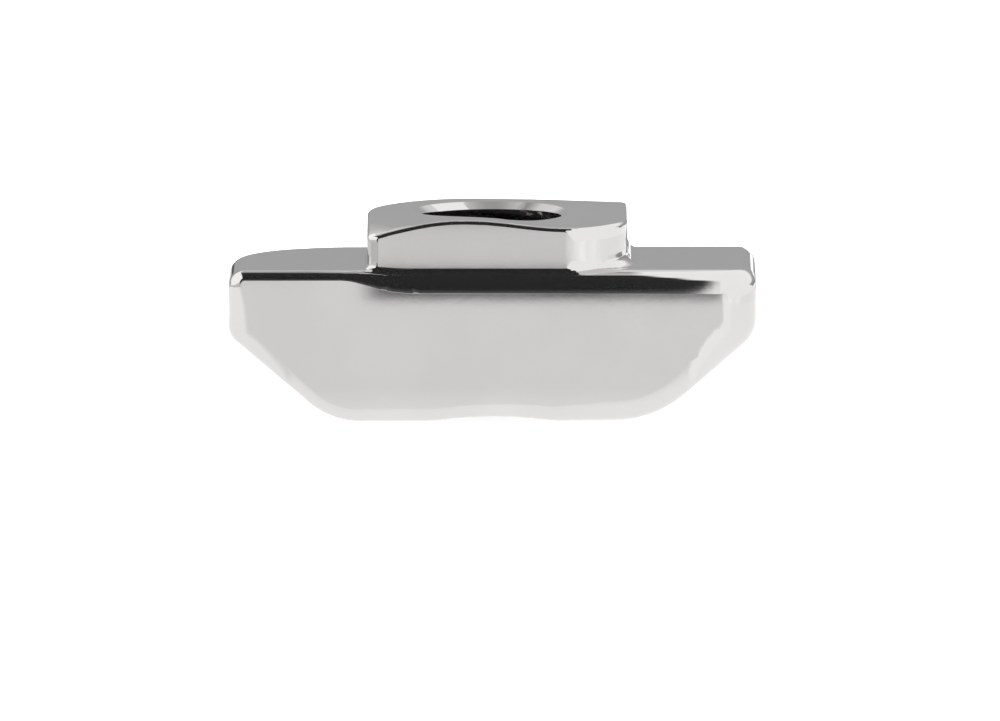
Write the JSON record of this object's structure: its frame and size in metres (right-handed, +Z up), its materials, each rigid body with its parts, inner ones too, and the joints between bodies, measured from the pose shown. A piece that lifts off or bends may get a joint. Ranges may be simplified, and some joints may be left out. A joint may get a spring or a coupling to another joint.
{
  "type": "t slot nut",
  "caption": "Hammer head T slot nut: a slope-sided head that turns under the slot's lips, with a raised collar and a threaded hole through both.",
  "frame": {"origin": "on the hole's axis, level with the underside", "axes": "+X along the head, +Y across it towards the round turning corner, +Z up the hole and out of the collar"},
  "size_m": [0.016, 0.0078, 0.0061],
  "materials": {
    "nickel": "bright nickel plating over cold headed steel"
  },
  "bodies": {
    "root": {"t_slot_nut": "nickel"}
  },
  "joints": []
}
